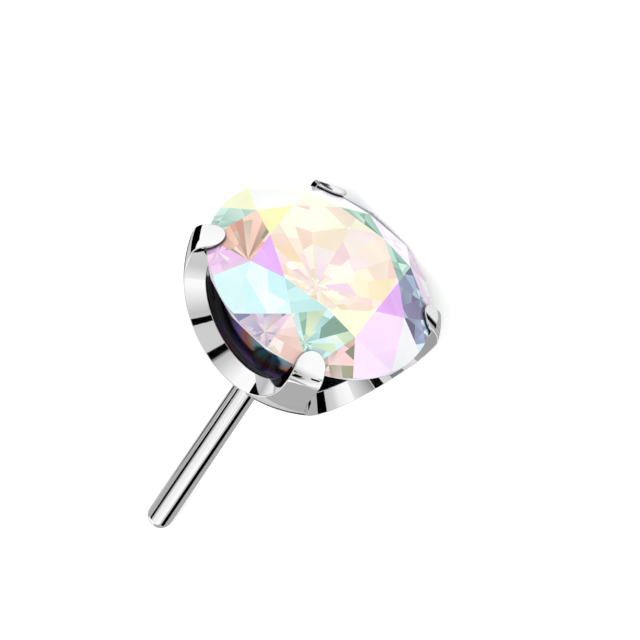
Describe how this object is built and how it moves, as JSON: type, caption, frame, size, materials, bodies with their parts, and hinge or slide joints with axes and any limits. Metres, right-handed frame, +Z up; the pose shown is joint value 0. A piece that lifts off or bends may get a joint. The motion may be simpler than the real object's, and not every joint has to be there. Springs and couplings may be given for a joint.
{
  "type": "threadless piercing top",
  "caption": "Round brilliant-cut stone held by the claws of a polished half-round cup, with a straight round-tipped pin that pushes into a hollow piercing post.",
  "frame": {"origin": "on the surface it rests on, under the middle of its length; it lies on its pin's tip, a corner of the stone's girdle and a claw's edge", "axes": "+X runs from the pin's tip towards the stone, level with the surface and along the longest extent; +Z is up, square to that surface, and is the shortest extent; +Y is across"},
  "size_m": [0.009, 0.005, 0.0048],
  "materials": {
    "coated_stone": "polished clear stone with a thin iridescent coat in pale cream, cyan, lilac and green",
    "polished_steel": "mirror polished cast surgical steel",
    "drawn_steel": "mirror polished surgical steel wire"
  },
  "bodies": {
    "root": {"stone": "coated_stone", "claw_cup": "polished_steel", "pin": "drawn_steel"}
  },
  "joints": []
}
